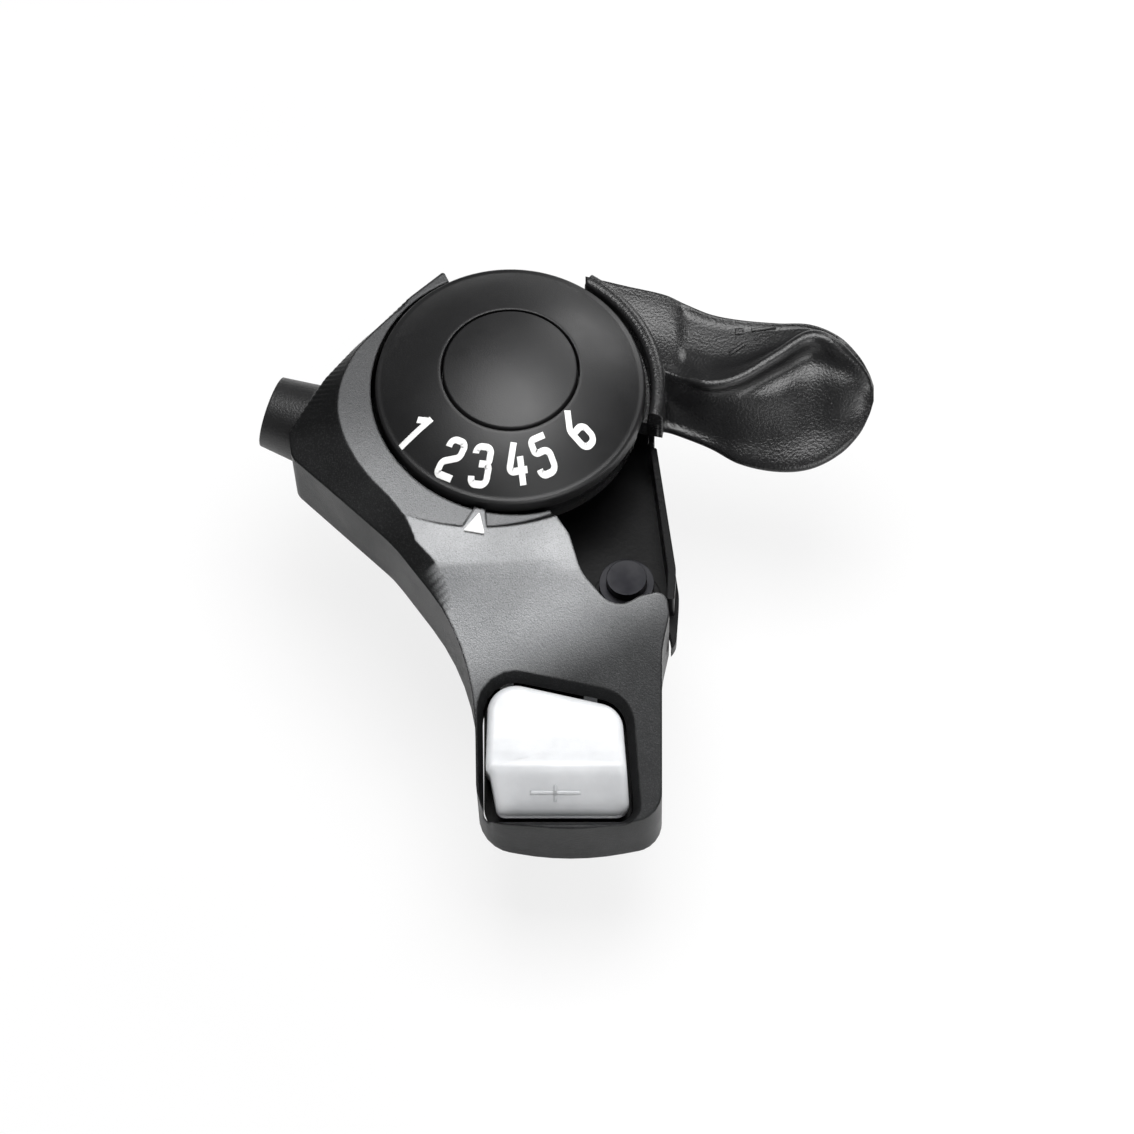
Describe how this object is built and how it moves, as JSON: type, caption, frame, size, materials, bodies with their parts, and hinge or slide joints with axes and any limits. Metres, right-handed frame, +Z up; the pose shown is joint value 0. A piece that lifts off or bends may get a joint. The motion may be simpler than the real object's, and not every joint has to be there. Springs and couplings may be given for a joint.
{
  "type": "bicycle shifter",
  "caption": "Top-mounted thumb shifter with an indexed dial, a ratcheting thumb lever, a release button, a barrel adjuster and a hinged handlebar clamp.",
  "frame": {"origin": "centre of the handlebar clamp's bore", "axes": "+X along the handlebar, towards the grip; +Y away from the rider, over the bar; +Z up, out of the dial"},
  "size_m": [0.0736, 0.0698, 0.0432],
  "materials": {
    "cover_grey": "satin metallic grey plastic",
    "dial_black": "satin black plastic",
    "lever_black": "fine-grained black plastic",
    "button_white": "milky white plastic",
    "base_black": "glossy black plastic",
    "barrel_black": "satin black plastic",
    "spool_grey": "natural acetal",
    "clamp_steel": "black lacquered steel",
    "bolt_black": "black oxide steel",
    "steel": "zinc plated steel",
    "spring_steel": "spring steel"
  },
  "bodies": {
    "housing": {"base_bracket": "base_black", "clamp_strap": "clamp_steel", "clamp_bolt": "bolt_black", "clamp_nut": "bolt_black", "top_cover": "cover_grey", "lower_cover": "base_black", "cover_screws": "steel", "lower_screws": "steel", "pivot_axle": "steel", "thrust_washer": "steel", "index_post": "steel", "index_spring": "spring_steel", "spool_spring": "spring_steel", "lever_spring": "spring_steel", "dial_washer": "steel", "dial_screw": "steel", "button_pin": "steel", "button_spring": "spring_steel", "barrel_spring": "spring_steel"},
    "spool": {"cable_spool": "spool_grey", "ratchet_wheel": "steel", "dial": "dial_black", "dial_cap": "dial_black"},
    "lever": {"thumb_lever": "lever_black", "pawl_pin": "steel", "pawl_spring": "spring_steel"},
    "pawl": {"feed_pawl": "steel"},
    "button": {"release_button": "button_white"},
    "barrel": {"barrel_adjuster": "barrel_black"}
  },
  "joints": [
    {"name": "spool_turn", "type": "hinge", "parent": "housing", "child": "spool", "pos_m": [-0.0123, 0.0085, 0.0135], "axis": [0, 0, 1], "range_deg": [-63, 42], "deforming": ["index_spring", "spool_spring"]},
    {"name": "lever_swing", "type": "hinge", "parent": "housing", "child": "lever", "pos_m": [-0.0123, 0.0085, 0.0193], "axis": [0, 0, 1], "range_deg": [0, 42], "stiffness_Nm_per_rad": 0.08, "springref_deg": -17.19, "deforming": ["lever_spring"]},
    {"name": "feed_pawl_drop", "type": "hinge", "parent": "lever", "child": "pawl", "pos_m": [0.00123, 0.01343, 0.0177], "axis": [0, 0, 1], "range_deg": [0, 8], "stiffness_Nm_per_rad": 0.002, "deforming": ["pawl_spring"]},
    {"name": "button_press", "type": "hinge", "parent": "housing", "child": "button", "pos_m": [0, -0.02337, 0.01443], "axis": [1, 0, 0], "range_deg": [0, 7], "stiffness_Nm_per_rad": 0.4, "springref_deg": -4.58, "deforming": ["button_spring"]},
    {"name": "barrel_turn", "type": "hinge", "parent": "housing", "child": "barrel", "pos_m": [-0.03633, 0.00841, 0.016], "axis": [-0.9336, 0.3584, 0], "range_deg": [-540, 540]}
  ]
}
